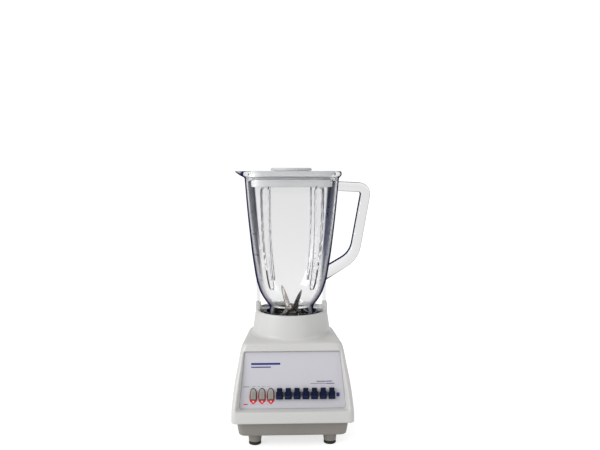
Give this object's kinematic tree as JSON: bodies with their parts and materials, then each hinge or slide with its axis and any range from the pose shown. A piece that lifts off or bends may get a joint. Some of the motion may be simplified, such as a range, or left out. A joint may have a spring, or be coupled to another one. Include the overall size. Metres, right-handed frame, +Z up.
{
  "type": "countertop blender",
  "caption": "Countertop blender: a motor base with a sloping key panel carries a clear handled jar with a lid, a screw collar and a lift-out blade unit.",
  "frame": {"origin": "bottom centre of the whole object's box, on the plane of the foot pads; the jar and motor axis stands at x = -0.0149", "axes": "+Z up along the jar's axis, -Y out of the key panel, +X towards the jar's handle"},
  "size_m": [0.1898, 0.184, 0.3666],
  "materials": {
    "housing": "fine satin, warm white",
    "panel": "satin printed foil, lavender grey",
    "pulse_key": "satin, light warm grey",
    "speed_key": "semi-gloss navy",
    "pan": "fine matt, taupe",
    "rubber": "matt black",
    "collar": "gloss black",
    "clear": "clear moulded plastic",
    "lid": "soft light grey plastic",
    "seal": "matt grey-beige rubber",
    "stainless": "brushed stainless",
    "steel": "plain steel",
    "brass": "plain",
    "copper": "enamelled copper",
    "carbon": "carbon",
    "black_plastic": "moulded black"
  },
  "bodies": {
    "base": {"base_housing": "housing", "control_panel": "panel", "base_pan": "pan", "foot_pad_1": "rubber", "foot_pad_2": "rubber", "foot_pad_3": "rubber", "foot_pad_4": "rubber", "housing_screw_1": "steel", "housing_screw_2": "steel", "housing_screw_3": "steel", "housing_screw_4": "steel", "cord_bushing": "rubber", "switch_block": "black_plastic", "field_core": "steel", "field_coil_left": "copper", "field_coil_right": "copper", "upper_bracket": "steel", "lower_bracket": "steel", "upper_bearing": "brass", "lower_bearing": "brass", "brush_holder_front": "brass", "brush_holder_rear": "brass", "brush_front": "carbon", "brush_rear": "carbon"},
    "motor_rotor": {"motor_shaft": "steel", "rotor_core": "steel", "commutator": "copper", "cooling_fan": "black_plastic", "slinger": "rubber", "drive_stud": "steel"},
    "collar": {"jar_collar": "collar"},
    "blade_unit": {"blade_plate": "stainless", "spindle_bearing": "brass"},
    "blades": {"spindle": "stainless", "upper_blade": "stainless", "lower_blade": "stainless", "blade_washer": "stainless", "blade_nut": "stainless", "drive_socket": "steel"},
    "sealing_ring": {"sealing_ring": "seal"},
    "jar": {"jar": "clear"},
    "lid": {"lid": "lid"},
    "filler_cap": {"filler_cap": "lid"},
    "pulse_key_1": {"pulse_key_1": "pulse_key"},
    "pulse_key_2": {"pulse_key_2": "pulse_key"},
    "pulse_key_3": {"pulse_key_3": "pulse_key"},
    "speed_key_1": {"speed_key_1": "speed_key"},
    "speed_key_2": {"speed_key_2": "speed_key"},
    "speed_key_3": {"speed_key_3": "speed_key"},
    "speed_key_4": {"speed_key_4": "speed_key"},
    "speed_key_5": {"speed_key_5": "speed_key"},
    "speed_key_6": {"speed_key_6": "speed_key"},
    "speed_key_7": {"speed_key_7": "speed_key"}
  },
  "joints": [
    {"name": "motor_spin", "type": "hinge", "parent": "base", "child": "motor_rotor", "pos_m": [-0.0149, 0, 0.09], "axis": [0, 0, 1], "continuous": true},
    {"name": "jar_lift", "type": "slide", "parent": "base", "child": "collar", "axis": [0, 0, 1], "range_m": [0, 0.0545]},
    {"name": "collar_release", "type": "slide", "parent": "collar", "child": "blade_unit", "axis": [0, 0, 1], "range_m": [0, 0.034]},
    {"name": "blade_spin", "type": "hinge", "parent": "blade_unit", "child": "blades", "pos_m": [-0.0149, 0, 0.16], "axis": [0, 0, 1], "continuous": true},
    {"name": "seal_release", "type": "slide", "parent": "blade_unit", "child": "sealing_ring", "axis": [0, 0, 1], "range_m": [0, 0.067]},
    {"name": "jar_release", "type": "slide", "parent": "sealing_ring", "child": "jar", "axis": [0, 0, 1], "range_m": [0, 0.0257]},
    {"name": "lid_lift", "type": "slide", "parent": "jar", "child": "lid", "axis": [0, 0, 1], "range_m": [0, 0.025]},
    {"name": "filler_cap_lift", "type": "slide", "parent": "lid", "child": "filler_cap", "axis": [0, 0, -1], "range_m": [-0.035, 0]},
    {"name": "pulse_key_1_press", "type": "slide", "parent": "base", "child": "pulse_key_1", "axis": [0, -0.9613, 0.2754], "range_m": [-0.003, 0], "stiffness_N_per_m": 300},
    {"name": "pulse_key_2_press", "type": "slide", "parent": "base", "child": "pulse_key_2", "axis": [0, -0.9613, 0.2754], "range_m": [-0.003, 0], "stiffness_N_per_m": 300},
    {"name": "pulse_key_3_press", "type": "slide", "parent": "base", "child": "pulse_key_3", "axis": [0, -0.9613, 0.2754], "range_m": [-0.003, 0], "stiffness_N_per_m": 300},
    {"name": "speed_key_1_press", "type": "slide", "parent": "base", "child": "speed_key_1", "axis": [0, -0.9613, 0.2754], "range_m": [-0.003, 0], "stiffness_N_per_m": 300},
    {"name": "speed_key_2_press", "type": "slide", "parent": "base", "child": "speed_key_2", "axis": [0, -0.9613, 0.2754], "range_m": [-0.003, 0], "stiffness_N_per_m": 300},
    {"name": "speed_key_3_press", "type": "slide", "parent": "base", "child": "speed_key_3", "axis": [0, -0.9613, 0.2754], "range_m": [-0.003, 0], "stiffness_N_per_m": 300},
    {"name": "speed_key_4_press", "type": "slide", "parent": "base", "child": "speed_key_4", "axis": [0, -0.9613, 0.2754], "range_m": [-0.003, 0], "stiffness_N_per_m": 300},
    {"name": "speed_key_5_press", "type": "slide", "parent": "base", "child": "speed_key_5", "axis": [0, -0.9613, 0.2754], "range_m": [-0.003, 0], "stiffness_N_per_m": 300},
    {"name": "speed_key_6_press", "type": "slide", "parent": "base", "child": "speed_key_6", "axis": [0, -0.9613, 0.2754], "range_m": [-0.003, 0], "stiffness_N_per_m": 300},
    {"name": "speed_key_7_press", "type": "slide", "parent": "base", "child": "speed_key_7", "axis": [0, -0.9613, 0.2754], "range_m": [-0.003, 0], "stiffness_N_per_m": 300}
  ],
  "couplings": [
    {"joint": "blade_spin", "follows": "motor_spin", "ratio": 1}
  ]
}
